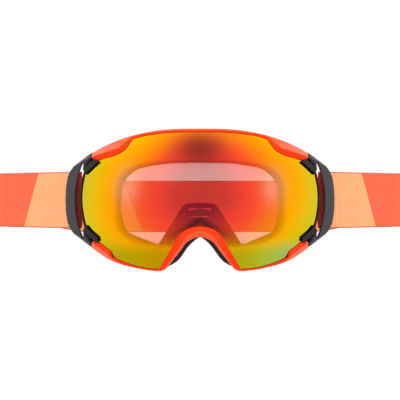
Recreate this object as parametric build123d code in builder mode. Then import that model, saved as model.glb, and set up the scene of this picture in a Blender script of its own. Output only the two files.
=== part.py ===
"""Ski goggles: spherical double lens, moulded frame, swinging outriggers and an adjustable strap.

The frame's own axes: +X to the viewer's right of someone facing the lens, -Y out of the lens,
+Y towards the wearer's face, +Z up.  The origin is the middle of the foam's face-fit surface,
level with the middle of the strap.  All lengths are in millimetres.
"""
import os
from math import atan2, cos, degrees, radians, sin, sqrt

from build123d import *

os.makedirs("parts", exist_ok=True)

# ---- driving dimensions --------------------------------------------------------------------------
# lens pack: every layer is a shell about one centre
LENS_RADIUS = 100.0
LENS_CENTRE_Y = 48.0
OUTER_LENS_THICKNESS = 1.2
GASKET_DEPTH = 4.0
GASKET_WIDTH = 5.0
INNER_LENS_THICKNESS = 0.8
RIM_PROUD = 0.6
SEAT_DEPTH = 2.6
LENS_FIT = 0.15
GLUE_GAP = 0.02
PRISM_REACH = 75.0
OUTLINE_TOLERANCE = 1e-4

# frame and foam: every layer is a shell about one upright face axis
FACE_RADIUS = 110.0
FLEECE_THICKNESS = 1.5
SOFT_FOAM_THICKNESS = 4.5
BASE_FOAM_THICKNESS = 11.6
FACE_FRAME_THICKNESS = 2.4
WALL_THICKNESS = 2.2
FOAM_MARGIN = 1.0

# vents in the frame wall and the filter foam behind them
VENT_LENGTH = 12.0
VENT_DEPTH = 6.0
VENT_PITCH = 17.0
FILTER_THICKNESS = 3.0

# outriggers: pivot, front bar and rear strap bar, for the right side
PIVOT_X, PIVOT_Y = 78.0, -6.0
PIN_RADIUS = 1.2
PIN_CLEARANCE = 0.05
KNUCKLE_RADIUS = 3.0
KNUCKLE_BOTTOM, KNUCKLE_TOP = 26.9, 32.9
PIN_LOW, PIN_HIGH = 19.6, 29.4
STRAP_BAR_X, STRAP_BAR_Y = 87.4, 7.0
STRAP_BAR_RADIUS = 2.0

# hinge mounts
LUG_REAR = 1.0
LUG_DEPTH = 10.5
CLAW_THICKNESS = 1.4
CLAW_CLEARANCE = 0.1

# frame vents and seat
SEAT_CLEARANCE = 0.6
BROW_VENT_Z = 44.5
CHEEK_VENT_X, CHEEK_VENT_Z = 44.0, -43.6
FILTER_END_GAP = 0.5
FILTER_FIT = 0.1
FLANGE_INSET = 0.5
BROW_FILTER_LENGTH = 92.0
CHEEK_FILTER_LENGTH = 22.0

# outrigger webs and slider rails
WEB_MIDDLE = 21.7
WEB_HEIGHT = 2.5
RAIL_MARGIN = 0.4

# strap
STRAP_WIDTH = 40.0
STRAP_THICKNESS = 1.4
LOOP_CLEARANCE = 0.2
STRAP_END_LENGTH = 16.0
STRAP_END_GAP = 3.2
BEND_START_X, BEND_START_Y = 146.0, 51.0
BEND_STEPS = 7
REAR_FRONT_LAYER_Y = 85.65
REAR_BACK_LAYER_Y = 88.35
REAR_DROP = 5.0
SAG_START_X, SAG_END_X = 126.0, 86.0
SAG_STEPS = 6
BAND_REACH_PAST_MIDDLE = 25.0

# sliders
SLIDER_X = 68.0
SLIDER_BAR_SPACING = 6.0
SLIDER_BAR_RADIUS = 1.0
SLIDER_FIT = 0.35
SLIDER_OPENING = 42.0
SLIDER_RAIL = 1.9
SLIDER_DROP = 5.6
TAB_LENGTH = 12.0
TAB_FOLD_THICKNESS = 1.2
TAB_CLEARANCE = 0.15

# silicone strips on the strap's inner face
GRIP_START_X, GRIP_END_X = 90.0, 130.0
GRIP_HEIGHT = 5.0
GRIP_THICKNESS = 0.6
GRIP_PITCH = 11.0
GRIP_DROP = 2.5

# ---- derived dimensions --------------------------------------------------------------------------
GASKET_RADIUS = LENS_RADIUS - OUTER_LENS_THICKNESS
INNER_LENS_RADIUS = GASKET_RADIUS - GASKET_DEPTH
SEAT_RADIUS = GASKET_RADIUS - LENS_FIT
SOFT_FOAM_RADIUS = FACE_RADIUS + FLEECE_THICKNESS
BASE_FOAM_RADIUS = SOFT_FOAM_RADIUS + SOFT_FOAM_THICKNESS
PLATE_RADIUS = BASE_FOAM_RADIUS + BASE_FOAM_THICKNESS
WALL_REAR_RADIUS = PLATE_RADIUS + FACE_FRAME_THICKNESS
STRAP_HEADING = degrees(atan2(BEND_START_Y - STRAP_BAR_Y, BEND_START_X - STRAP_BAR_X))
TAB_LOOP_RADIUS = SLIDER_BAR_RADIUS + TAB_CLEARANCE + TAB_FOLD_THICKNESS
PIN_LENGTH = PIN_HIGH - PIN_LOW
PIN_MIDDLE = (PIN_HIGH + PIN_LOW) / 2
FILTERS = [
    ("vent_filter_brow", 0.0, BROW_FILTER_LENGTH, 1),
    ("vent_filter_cheek_left", -CHEEK_VENT_X, CHEEK_FILTER_LENGTH, -1),
    ("vent_filter_cheek_right", CHEEK_VENT_X, CHEEK_FILTER_LENGTH, -1),
]
# each row of vents: its X places, the wall's height there and how far the cut reaches
VENT_ROWS = [
    ([VENT_PITCH * step for step in (-2, -1, 0, 1, 2)], BROW_VENT_Z, PRISM_REACH),
    ([-CHEEK_VENT_X, CHEEK_VENT_X], CHEEK_VENT_Z, -PRISM_REACH),
]


# ---- outlines, seen from the front, each drawn as its right half and mirrored --------------------
with BuildSketch(Plane.XZ) as frame_face:
    with BuildLine():
        # brow, then the step where the upper outrigger arm ends
        Spline((0, 47.4), (29.2, 46.3), (52.7, 41.4), (74.4, 32.4), tangents=((1, 0), (0.88, -0.47)))
        Polyline((74.4, 32.4), (74.5, 29.0), (72.4, 27.4), (80.2, 20.4))
        ThreePointArc((80.2, 20.4), (83.4, 0), (79.2, -21.0))
        # the step of the lower arm, then cheek, lobe and nose arch
        Polyline((79.2, -21.0), (72.6, -27.6), (74.5, -29.4), (74.6, -33.3))
        Spline((74.6, -33.3), (61, -41.1), (43, -45.9), (27, -47.6), tangents=((-0.86, -0.5), (-1, 0)))
        ThreePointArc((27, -47.6), (23.9, -46.8), (21.2, -44.2))
        Spline((21.2, -44.2), (13.4, -34.0), (8.2, -27.4), (0, -24.2), tangents=((-0.6, 0.8), (-1, 0)))
        mirror(about=Plane.YZ)
    make_face()

with BuildSketch(Plane.XZ) as wall_inner_face:
    with BuildLine():
        Spline((0, 45.2), (29, 44), (52, 39.2), (69, 27), tangents=((1, 0), (0.75, -0.66)))
        Spline((69, 27), (81.2, 0), (69.5, -28), tangents=((0.75, -0.66), (-0.74, -0.67)))
        Spline((69.5, -28), (58.5, -39.6), (43, -43.7), (29, -45.2), tangents=((-0.74, -0.67), (-1, 0)))
        Spline((29, -45.2), (16.6, -33), (10.4, -25.2), (0, -21.8), tangents=((-0.66, 0.75), (-1, 0)))
        mirror(about=Plane.YZ)
    make_face()

with BuildSketch(Plane.XZ) as lens_face:
    with BuildLine():
        # the lens is notched under the four wings of the frame and over the nose
        Spline((0, 45.1), (29.0, 44.0), (45.3, 40.9), tangents=((1, 0), (0.94, -0.35)))
        Spline((45.3, 40.9), (51.4, 33.1), (69.6, 26.9), tangents=((0.5, -0.87), (0.93, -0.37)))
        Line((69.6, 26.9), (79.6, 18.8))
        ThreePointArc((79.6, 18.8), (82.0, 0), (78.4, -19.2))
        Polyline((78.4, -19.2), (69.6, -28.3), (60.6, -34.9), (59.3, -38.8))
        Spline((59.3, -38.8), (43.0, -44.4), (27.5, -46.2), tangents=((-0.9, -0.4), (-1, 0)))
        Spline((27.5, -46.2), (19.4, -32.8), (10.6, -20.2), (0, -17.3), tangents=((-0.5, 0.87), (-1, 0)))
        mirror(about=Plane.YZ)
    make_face()

with BuildSketch(Plane.XZ) as inner_lens_face:
    with BuildLine():
        Spline((0, 39.4), (34.0, 37.0), (60.0, 27.0), (75.0, 0), tangents=((1, 0), (0, -1)))
        Spline((75.0, 0), (60.0, -29.0), (44.0, -38.0), (30.0, -40.0), tangents=((0, -1), (-1, 0)))
        Spline((30.0, -40.0), (20.0, -24.5), (11.0, -13.0), (0, -10.5), tangents=((-0.7, 0.7), (-1, 0)))
        mirror(about=Plane.YZ)
    make_face()

with BuildSketch(Plane.XZ) as face_opening:
    with BuildLine():
        # the window that the wearer looks through, with the nose bridge rising into it
        Spline((0, 25.6), (31.0, 24.3), (45.5, 20.6), (55.0, 8.0), tangents=((1, 0), (0.1, -1)))
        Spline((55.0, 8.0), (55.4, -10.0), (49.5, -23.0), tangents=((0.1, -1), (-0.85, -0.5)))
        Polyline((49.5, -23.0), (29.0, -31.0), (12.0, -4.6))
        Spline((12.0, -4.6), (6.5, -2.2), (0, -1.9), tangents=((-0.55, 0.83), (-1, 0)))
        mirror(about=Plane.YZ)
    make_face()

with BuildSketch(Plane.XZ) as foam_face:
    with BuildLine():
        Spline((0, 45.4), (32.0, 43.6), (62.0, 34.0), (82.0, 0), tangents=((1, 0), (0, -1)))
        Spline((82.0, 0), (68.0, -32.0), (46.0, -43.6), (25.0, -46.2), tangents=((0, -1), (-1, 0)))
        Spline((25.0, -46.2), (16.4, -42.4), (7.0, -30.6), (0, -25.0), tangents=((-1, 0.1), (-0.9, 0.45)))
        mirror(about=Plane.YZ)
    make_face()


# ---- helpers -------------------------------------------------------------------------------------
def lens_ball(radius, mode):
    """A ball about the lens centre, for the open part."""
    with Locations((0, LENS_CENTRE_Y, 0)):
        Sphere(radius, mode=mode)


def face_drum(radius, mode):
    """An upright drum about the face axis, for the open part."""
    with Locations((0, FACE_RADIUS, 0)):
        Cylinder(radius, 2 * PRISM_REACH, mode=mode)


def inset(outline, amount):
    """A front-view outline moved inwards by a positive amount, or outwards by a negative one."""
    with BuildSketch(Plane.XZ) as moved:
        add(outline.sketch_local)
        offset(amount=-amount)
    return moved.sketch.to_splines(tolerance=OUTLINE_TOLERANCE)


def vent_middle_y(x, z):
    """The middle of the frame's wall, between the lens seat and the face frame, at x, z."""
    seat_y = LENS_CENTRE_Y - sqrt((SEAT_RADIUS - SEAT_DEPTH) ** 2 - x * x - z * z)
    rear_y = FACE_RADIUS - sqrt(WALL_REAR_RADIUS**2 - x * x)
    return (seat_y + rear_y) / 2


def save(part, node):
    """Label a finished piece and write it as one STEP file."""
    part.label = node
    export_step(part, f"parts/{node}.step")


def save_pair(part, node):
    """Write a piece modelled on the right, and its mirror image on the left."""
    save(part, f"{node}_right")
    save(mirror(part, about=Plane.YZ), f"{node}_left")


# ---- lens pack -----------------------------------------------------------------------------------
with BuildPart() as outer_lens:
    extrude(lens_face.sketch, amount=PRISM_REACH)
    lens_ball(LENS_RADIUS, Mode.INTERSECT)
    lens_ball(LENS_RADIUS - OUTER_LENS_THICKNESS, Mode.SUBTRACT)
save(outer_lens.part, "outer_lens")

gasket_opening = inset(inner_lens_face, GASKET_WIDTH)
with BuildPart() as lens_gasket:
    extrude(inner_lens_face.sketch, amount=PRISM_REACH)
    extrude(gasket_opening, amount=PRISM_REACH, mode=Mode.SUBTRACT)
    lens_ball(GASKET_RADIUS - GLUE_GAP, Mode.INTERSECT)
    lens_ball(INNER_LENS_RADIUS, Mode.SUBTRACT)
save(lens_gasket.part, "lens_gasket")

with BuildPart() as inner_lens:
    extrude(inner_lens_face.sketch, amount=PRISM_REACH)
    lens_ball(INNER_LENS_RADIUS - GLUE_GAP, Mode.INTERSECT)
    lens_ball(INNER_LENS_RADIUS - INNER_LENS_THICKNESS, Mode.SUBTRACT)
save(inner_lens.part, "inner_lens")

# ---- hinge mounts: a lug for the pin, and a claw that holds the lens edge ------------------------
LUG = [(74.2, 26.6), (80.6, 26.6), (80.9, 21.2), (79.8, 19.4), (77.8, 19.4), (74.2, 23.2)]
LINK = [(69.2, 26.2), (72.4, 28.2), (80.8, 20.8), (79.2, 18.2)]
UPPER_CLAW = [(69.2, 26.4), (72.2, 28.0), (80.4, 20.9), (79.4, 17.8)]
LOWER_CLAW = [(68.9, 28.0), (71.2, 29.6), (79.4, 20.6), (78.9, 17.6)]

with BuildPart() as lens_room:
    extrude(lens_face.sketch, amount=PRISM_REACH)
    lens_ball(LENS_RADIUS + CLAW_CLEARANCE, Mode.INTERSECT)
    lens_ball(SEAT_RADIUS, Mode.SUBTRACT)


def build_hinge_mount(up, claw_outline):
    """The right mount of the upper corner with up = 1, or of the lower one with up = -1."""
    with BuildPart() as claw:
        with BuildSketch(Plane.XZ):
            Polygon(*[(x, up * z) for x, z in claw_outline], align=None)
        extrude(amount=PRISM_REACH)
        lens_ball(LENS_RADIUS + CLAW_THICKNESS, Mode.INTERSECT)
        lens_ball(LENS_RADIUS, Mode.SUBTRACT)
    with BuildPart() as mount:
        with BuildSketch(Plane.XZ.offset(LUG_REAR)):
            Polygon(*[(x, up * z) for x, z in LUG], align=None)
        extrude(amount=LUG_DEPTH)
        with BuildSketch(Plane.XZ.offset(LUG_REAR + LUG_DEPTH - WALL_THICKNESS)):
            Polygon(*[(x, up * z) for x, z in LINK], align=None)
        extrude(amount=PRISM_REACH)
        lens_ball(LENS_RADIUS + CLAW_THICKNESS, Mode.INTERSECT)
        add(claw.part)
        add(lens_room.part, mode=Mode.SUBTRACT)
        with Locations((PIVOT_X, PIVOT_Y, 0)):
            Cylinder(PIN_RADIUS, 2 * PRISM_REACH, mode=Mode.SUBTRACT)
    return mount.part


upper_hinge_mount = build_hinge_mount(1, UPPER_CLAW)
lower_hinge_mount = build_hinge_mount(-1, LOWER_CLAW)
save_pair(upper_hinge_mount, "hinge_mount_upper")
save_pair(lower_hinge_mount, "hinge_mount_lower")
hinge_mounts = [upper_hinge_mount, lower_hinge_mount]
hinge_mounts += [mirror(mount, about=Plane.YZ) for mount in hinge_mounts]

# ---- hinge pins: four upright pins, pressed into the mounts' lugs --------------------------------
pin_places = [(x, PIVOT_Y, z) for x in (-PIVOT_X, PIVOT_X) for z in (-PIN_MIDDLE, PIN_MIDDLE)]
with BuildPart() as hinge_pins:
    with Locations(*pin_places):
        Cylinder(PIN_RADIUS, PIN_LENGTH)
save(hinge_pins.part, "hinge_pins")

# ---- frame shell: rim, wings and nose arch in one moulding ---------------------------------------
with BuildPart() as lens_pocket:
    extrude(lens_face.sketch, amount=PRISM_REACH)
    lens_ball(SEAT_RADIUS, Mode.SUBTRACT)

with BuildPart() as wall_hollow:
    extrude(wall_inner_face.sketch, amount=PRISM_REACH, both=True)
    lens_ball(SEAT_RADIUS - SEAT_DEPTH, Mode.INTERSECT)

seat_opening = inset(inner_lens_face, -SEAT_CLEARANCE)
with BuildPart() as frame_shell:
    extrude(frame_face.sketch, amount=PRISM_REACH, both=True)
    lens_ball(LENS_RADIUS + RIM_PROUD, Mode.INTERSECT)
    face_drum(WALL_REAR_RADIUS + GLUE_GAP, Mode.SUBTRACT)
    add(lens_pocket.part, mode=Mode.SUBTRACT)
    add(wall_hollow.part, mode=Mode.SUBTRACT)
    extrude(seat_opening, amount=PRISM_REACH, both=True, mode=Mode.SUBTRACT)
    # vents through the brow and through both cheeks
    for vent_xs, edge_z, reach in VENT_ROWS:
        with BuildSketch(Plane.XY):
            with Locations(*[(x, vent_middle_y(x, edge_z)) for x in vent_xs]):
                SlotOverall(VENT_LENGTH, VENT_DEPTH)
        extrude(amount=reach, mode=Mode.SUBTRACT)
    # the mounts and their pins fill their own sockets
    for insert in [*hinge_mounts, hinge_pins.part]:
        add(insert, mode=Mode.SUBTRACT)
save(frame_shell.part, "frame_shell")

# ---- vent filters: foam strips inside the wall, behind the vents ---------------------------------
filter_outside = inset(wall_inner_face, FILTER_FIT)
filter_inside = inset(wall_inner_face, FILTER_FIT + FILTER_THICKNESS)
for node, centre_x, length, up in FILTERS:
    with BuildPart() as vent_filter:
        extrude(filter_outside, amount=PRISM_REACH, both=True)
        extrude(filter_inside, amount=PRISM_REACH, both=True, mode=Mode.SUBTRACT)
        lens_ball(SEAT_RADIUS - SEAT_DEPTH - FILTER_END_GAP, Mode.INTERSECT)
        face_drum(WALL_REAR_RADIUS + FILTER_END_GAP, Mode.SUBTRACT)
        with Locations((centre_x, 0, up * PRISM_REACH / 2)):
            Box(length, 2 * PRISM_REACH, PRISM_REACH, mode=Mode.INTERSECT)
    save(vent_filter.part, node)

# ---- face frame: the flange between the shell and the foam, with a windowed nose bridge ----------
flange_outline = inset(frame_face, FLANGE_INSET)
with BuildPart() as face_frame:
    extrude(flange_outline, amount=PRISM_REACH, both=True)
    extrude(face_opening.sketch, amount=PRISM_REACH, both=True, mode=Mode.SUBTRACT)
    with BuildSketch(Plane.XZ) as bridge_windows:
        Polygon((-8.4, -11.8), (8.4, -11.8), (7.4, -5.6), (-7.4, -5.6), align=None)
        for side in (-1, 1):
            Polygon((side * 9.9, -8.2), (side * 16.2, -16.6), (side * 10.8, -13.2), align=None)
    extrude(amount=PRISM_REACH, both=True, mode=Mode.SUBTRACT)
    face_drum(WALL_REAR_RADIUS, Mode.INTERSECT)
    face_drum(PLATE_RADIUS, Mode.SUBTRACT)
    split(bisect_by=Plane.XZ.offset(-FACE_RADIUS), keep=Keep.TOP)
save(face_frame.part, "face_frame")

# ---- face foam in three layers -------------------------------------------------------------------
FOAM_LAYERS = [
    ("foam_base", PLATE_RADIUS, BASE_FOAM_RADIUS),
    ("foam_soft", BASE_FOAM_RADIUS, SOFT_FOAM_RADIUS),
    ("foam_fleece", SOFT_FOAM_RADIUS, FACE_RADIUS),
]
foam_opening = inset(face_opening, -FOAM_MARGIN)
# the foam stays clear of the windows in the nose bridge
WINDOW_ROOM = [(18.0, -14.0), (16.6, -17.4), (10.0, -13.2), (-10.0, -13.2), (-16.6, -17.4), (-18.0, -14.0)]
with BuildSketch(Plane.XZ) as window_room:
    Polygon(*WINDOW_ROOM, (-12.0, -4.0), (12.0, -4.0), align=None)
for node, front_radius, rear_radius in FOAM_LAYERS:
    with BuildPart() as foam_layer:
        extrude(foam_face.sketch, amount=PRISM_REACH, both=True)
        extrude(foam_opening, amount=PRISM_REACH, both=True, mode=Mode.SUBTRACT)
        extrude(window_room.sketch, amount=PRISM_REACH, both=True, mode=Mode.SUBTRACT)
        face_drum(front_radius - GLUE_GAP, Mode.INTERSECT)
        face_drum(rear_radius, Mode.SUBTRACT)
        split(bisect_by=Plane.XZ.offset(-FACE_RADIUS), keep=Keep.TOP)
    save(foam_layer.part, node)

# ---- outriggers: front bar and arms, with the strap bar behind -----------------------------------
KNUCKLE_LEFT = PIVOT_X - KNUCKLE_RADIUS
KNUCKLE_OUTER, KNUCKLE_INNER = (KNUCKLE_LEFT, KNUCKLE_TOP), (KNUCKLE_LEFT, KNUCKLE_BOTTOM)
ARM_OUTSIDE = [KNUCKLE_OUTER, (88.0, 23.6), (90.6, 20.0), (92.3, 16.0)]
ARM_INSIDE = [(84.8, 12.5), (83.6, 16.4), (82.6, 19.8), (82.0, 23.4), (81.4, 26.9), KNUCKLE_INNER]

with BuildPart() as arm_plan:
    with BuildSketch(Plane.XY.offset(-PRISM_REACH)):
        with Locations((PIVOT_X, PIVOT_Y)):
            Circle(KNUCKLE_RADIUS)
        Polygon((78, -9), (92, -4.6), (94.4, -3.4), (94.4, 2.4), (88, 2.6), (78, -3), align=None)
    extrude(amount=2 * PRISM_REACH)

with BuildPart() as outrigger:
    with BuildSketch(Plane.XZ):
        with BuildLine():
            Polyline(*ARM_OUTSIDE)
            ThreePointArc((92.3, 16.0), (93.8, 0), (92.3, -16.0))
            Polyline(*[(x, -z) for x, z in reversed(ARM_OUTSIDE)])
            Line((KNUCKLE_LEFT, -KNUCKLE_TOP), (KNUCKLE_LEFT, -KNUCKLE_BOTTOM))
            Polyline(*[(x, -z) for x, z in reversed(ARM_INSIDE)])
            ThreePointArc((84.8, -12.5), (86.6, 0), (84.8, 12.5))
            Polyline(*ARM_INSIDE)
            Line((KNUCKLE_LEFT, KNUCKLE_BOTTOM), (KNUCKLE_LEFT, KNUCKLE_TOP))
        make_face()
    extrude(amount=PRISM_REACH, both=True)
    add(arm_plan.part, mode=Mode.INTERSECT)
    # a web at each end carries the strap bar behind the front bar
    for up in (-1, 1):
        with BuildSketch(Plane.XY.offset(up * WEB_MIDDLE)) as web:
            Polygon((85.2, -1), (88.6, -1), (89.4, 6), (89.4, 8), (88, 9), (85.6, 7.4), align=None)
        extrude(amount=WEB_HEIGHT / 2, both=True)
    with Locations((STRAP_BAR_X, STRAP_BAR_Y, 0)):
        Cylinder(STRAP_BAR_RADIUS, 2 * WEB_MIDDLE)
    with Locations((PIVOT_X, PIVOT_Y, 0)):
        Cylinder(PIN_RADIUS + PIN_CLEARANCE, 2 * PRISM_REACH, mode=Mode.SUBTRACT)
save_pair(outrigger.part, "outrigger")

# ---- strap ends: the sewn loop round each strap bar ----------------------------------------------
LOOP_RADIUS = STRAP_BAR_RADIUS + LOOP_CLEARANCE + STRAP_THICKNESS
with BuildPart() as strap_end:
    with BuildSketch(Plane.XY.offset(-STRAP_WIDTH / 2)):
        with Locations((STRAP_BAR_X, STRAP_BAR_Y)):
            Circle(LOOP_RADIUS)
            with PolarLocations(STRAP_END_LENGTH, 1, start_angle=STRAP_HEADING):
                Circle(STRAP_THICKNESS)
        make_hull()
        with Locations((STRAP_BAR_X, STRAP_BAR_Y)):
            Circle(STRAP_BAR_RADIUS + LOOP_CLEARANCE, mode=Mode.SUBTRACT)
    extrude(amount=STRAP_WIDTH)
save_pair(strap_end.part, "strap_end")


# ---- strap bands: out and back from the outriggers, round a bend, and along behind the head ------
def band_section(x, y, heading, drop):
    """An upright section across a band whose middle passes through x, y."""
    along = (cos(radians(heading)), sin(radians(heading)), 0)
    return Plane(origin=(x, y, -drop), x_dir=(along[1], -along[0], 0), z_dir=along)


def band_sections(rear_y):
    """The sections of the right half of the strap, with its rear run at Y = rear_y."""
    start = STRAP_END_LENGTH + STRAP_END_GAP
    first = (
        STRAP_BAR_X + start * cos(radians(STRAP_HEADING)),
        STRAP_BAR_Y + start * sin(radians(STRAP_HEADING)),
    )
    bend_radius = (rear_y - BEND_START_Y) / (1 + cos(radians(STRAP_HEADING)))
    sections = [band_section(*first, STRAP_HEADING, 0)]
    for step in range(BEND_STEPS + 1):
        turned = step / BEND_STEPS
        heading = STRAP_HEADING + turned * (180 - STRAP_HEADING)
        x = BEND_START_X + bend_radius * (sin(radians(heading)) - sin(radians(STRAP_HEADING)))
        y = BEND_START_Y + bend_radius * (cos(radians(STRAP_HEADING)) - cos(radians(heading)))
        sections.append(band_section(x, y, heading, 0))
    # behind the head the band sags, and runs level again between the sliders
    for step in range(SAG_STEPS + 1):
        share = step / SAG_STEPS
        sag = REAR_DROP * share * share * (3 - 2 * share)
        sections.append(band_section(SAG_START_X + share * (SAG_END_X - SAG_START_X), rear_y, 180, sag))
    sections.append(band_section(-BAND_REACH_PAST_MIDDLE, rear_y, 180, REAR_DROP))
    return sections


def strap_band(rear_y):
    """The right half of the strap."""
    with BuildPart() as band:
        for section in band_sections(rear_y):
            with BuildSketch(section):
                Rectangle(STRAP_THICKNESS, STRAP_WIDTH)
        loft(ruled=True)
    return band.part


save(strap_band(REAR_BACK_LAYER_Y), "strap_right")
save(mirror(strap_band(REAR_FRONT_LAYER_Y), about=Plane.YZ), "strap_left")

# ---- sliders: each carries one band's sewn end and rides on the other band -----------------------
band_half_room = STRAP_THICKNESS / 2 + SLIDER_FIT
HELD_BAR = (SLIDER_X - SLIDER_BAR_SPACING, REAR_BACK_LAYER_Y - band_half_room - TAB_LOOP_RADIUS)
REAR_BAR = (SLIDER_X, REAR_BACK_LAYER_Y + band_half_room + SLIDER_BAR_RADIUS)
OUTER_BAR = (SLIDER_X + SLIDER_BAR_SPACING, REAR_BACK_LAYER_Y - band_half_room - SLIDER_BAR_RADIUS)

with BuildPart() as slider:
    for up in (-1, 1):
        rail_middle = -SLIDER_DROP + up * (SLIDER_OPENING + SLIDER_RAIL) / 2
        with BuildSketch(Plane.XY.offset(rail_middle)) as rail:
            with Locations(HELD_BAR, REAR_BAR, OUTER_BAR):
                Circle(SLIDER_BAR_RADIUS + RAIL_MARGIN)
            make_hull()
        extrude(amount=SLIDER_RAIL / 2, both=True)
    with BuildSketch(Plane.XY.offset(-SLIDER_DROP)) as bars:
        with Locations(HELD_BAR, REAR_BAR, OUTER_BAR):
            Circle(SLIDER_BAR_RADIUS)
    extrude(amount=SLIDER_OPENING / 2 + RAIL_MARGIN, both=True)

with BuildPart() as strap_tab:
    with BuildSketch(Plane.XY.offset(-REAR_DROP)) as tab_plan:
        with Locations(HELD_BAR):
            Circle(TAB_LOOP_RADIUS)
        with Locations((HELD_BAR[0] - TAB_LENGTH, HELD_BAR[1])):
            Circle(TAB_FOLD_THICKNESS)
        make_hull()
        with Locations(HELD_BAR):
            Circle(TAB_LOOP_RADIUS - TAB_FOLD_THICKNESS, mode=Mode.SUBTRACT)
    extrude(amount=STRAP_WIDTH / 2, both=True)

# the left set is the right set turned half round about the middle of the two layers
middle_layer_y = (REAR_FRONT_LAYER_Y + REAR_BACK_LAYER_Y) / 2
half_turn = Axis((0, middle_layer_y, 0), (0, 0, 1))
for piece, node in ((slider.part, "slider"), (strap_tab.part, "strap_tab")):
    save(piece, f"{node}_right")
    save(piece.rotate(half_turn, 180), f"{node}_left")

# ---- silicone grip strips on the inner face of the strap's rear run ------------------------------
GRIPS = [("strap_grip_right", 1, REAR_BACK_LAYER_Y), ("strap_grip_left", -1, REAR_FRONT_LAYER_Y)]
for node, side, rear_y in GRIPS:
    with BuildPart() as strap_grip:
        with BuildSketch(Plane.XZ.offset(-(rear_y - STRAP_THICKNESS / 2))):
            with Locations((side * (GRIP_START_X + GRIP_END_X) / 2, -GRIP_DROP)):
                with GridLocations(1, GRIP_PITCH, 1, 3):
                    SlotOverall(GRIP_END_X - GRIP_START_X, GRIP_HEIGHT)
        extrude(amount=GRIP_THICKNESS)
    save(strap_grip.part, node)
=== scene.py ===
"""Looks of the ski goggles: mirror lens, moulded frame, outriggers, layered face foam and strap.

Lengths are in millimetres, in the row frame: +X to the viewer's right, -Y out of the lens, +Z up.
Meshes are turned into metres as they are made.
"""
from math import asin, atan2, cos, degrees, pi, radians, sin, sqrt

import bpy
import numpy as np
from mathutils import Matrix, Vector, noise


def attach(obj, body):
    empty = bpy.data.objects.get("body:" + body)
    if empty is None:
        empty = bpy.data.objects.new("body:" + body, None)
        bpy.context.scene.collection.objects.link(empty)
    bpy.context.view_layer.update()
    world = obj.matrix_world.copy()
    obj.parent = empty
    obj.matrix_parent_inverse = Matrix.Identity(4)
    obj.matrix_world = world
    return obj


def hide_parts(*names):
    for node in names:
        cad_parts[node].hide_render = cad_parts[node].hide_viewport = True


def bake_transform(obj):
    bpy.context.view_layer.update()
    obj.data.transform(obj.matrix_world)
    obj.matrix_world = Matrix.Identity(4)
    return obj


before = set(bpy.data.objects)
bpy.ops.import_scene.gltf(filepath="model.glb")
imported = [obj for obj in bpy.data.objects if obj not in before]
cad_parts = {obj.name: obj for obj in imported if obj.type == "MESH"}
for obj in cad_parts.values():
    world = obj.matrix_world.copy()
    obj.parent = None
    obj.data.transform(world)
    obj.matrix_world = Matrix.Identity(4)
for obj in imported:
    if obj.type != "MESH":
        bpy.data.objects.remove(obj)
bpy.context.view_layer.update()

# noise_vector is shifted by a seed, which is otherwise taken from the clock
noise.seed_set(11)
MM = 0.001

# ---- driving dimensions, as in the CAD -------------------------------
LENS_RADIUS, LENS_CENTRE_Y = 100.0, 48.0
LENS_BACK_RADIUS = 98.8
GASKET_FRONT, GASKET_BACK = 98.75, 94.8
INNER_FRONT, INNER_BACK = 94.78, 93.98
SEAT_FRONT, SEAT_BACK = 98.6, 96.05
RIM_RADIUS = 100.6
FACE_CENTRE_Y = 110.0
FLANGE_RADIUS = 130.0
BASE_FRONT, SOFT_FRONT, FLEECE_FRONT, FLEECE_BACK = 127.6, 116.0, 111.5, 110.0
PIVOT = (78.0, -6.0)
PIN_BORE = 1.25
KNUCKLE_RADIUS, KNUCKLE_BOTTOM = 3.0, 26.9
STRAP_BAR = (87.4, 7.0)
STRAP_BAR_RADIUS = 2.0
WEB_MIDDLE, WEB_HALF_HEIGHT = 21.7, 1.25
STRAP_HALF_WIDTH, STRAP_THICKNESS = 20.0, 1.4
STRAP_FLAT, STRAP_CORNER = 19.4, 19.85
BEND_START = (146.0, 51.0)
STRAP_HEADING = atan2(BEND_START[1] - STRAP_BAR[1], BEND_START[0] - STRAP_BAR[0])
REAR_FRONT_LAYER_Y, REAR_BACK_LAYER_Y = 85.65, 88.35
REAR_DROP = 5.0
SAG_START_X, SAG_END_X = 126.0, 86.0
SLIDER_BAR_X, SLIDER_BAR_OFFSET = 62.0, 0.7
TAB_START_X = 50.0
TAB_LAYER = 1.2
SLIDER_BAR_ROOM = 1.15


# ---- outlines, seen from the front: the right half, from the top middle to the bottom middle ----
def smooth(points, start, end, step=1.5):
    """Points along a smooth curve through given points, with its directions at both ends."""
    p = np.array(points, float)
    chord = np.linalg.norm(np.diff(p, axis=0), axis=1)
    tangent = np.zeros_like(p)
    tangent[0] = np.array(start) / np.linalg.norm(start)
    tangent[-1] = np.array(end) / np.linalg.norm(end)
    for k in range(1, len(p) - 1):
        before = (p[k] - p[k - 1]) / chord[k - 1]
        after = (p[k + 1] - p[k]) / chord[k]
        tangent[k] = (before * chord[k] + after * chord[k - 1]) / (chord[k] + chord[k - 1])
    runs = []
    for k in range(len(p) - 1):
        t = np.linspace(0, 1, max(3, int(chord[k] / step)), endpoint=False)[:, None]
        runs.append(
            p[k] * (1 + 2 * t) * (1 - t) ** 2
            + tangent[k] * chord[k] * t * (1 - t) ** 2
            + p[k + 1] * t * t * (3 - 2 * t)
            + tangent[k + 1] * chord[k] * t * t * (t - 1)
        )
    return np.vstack([*runs, p[-1:]])


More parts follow.
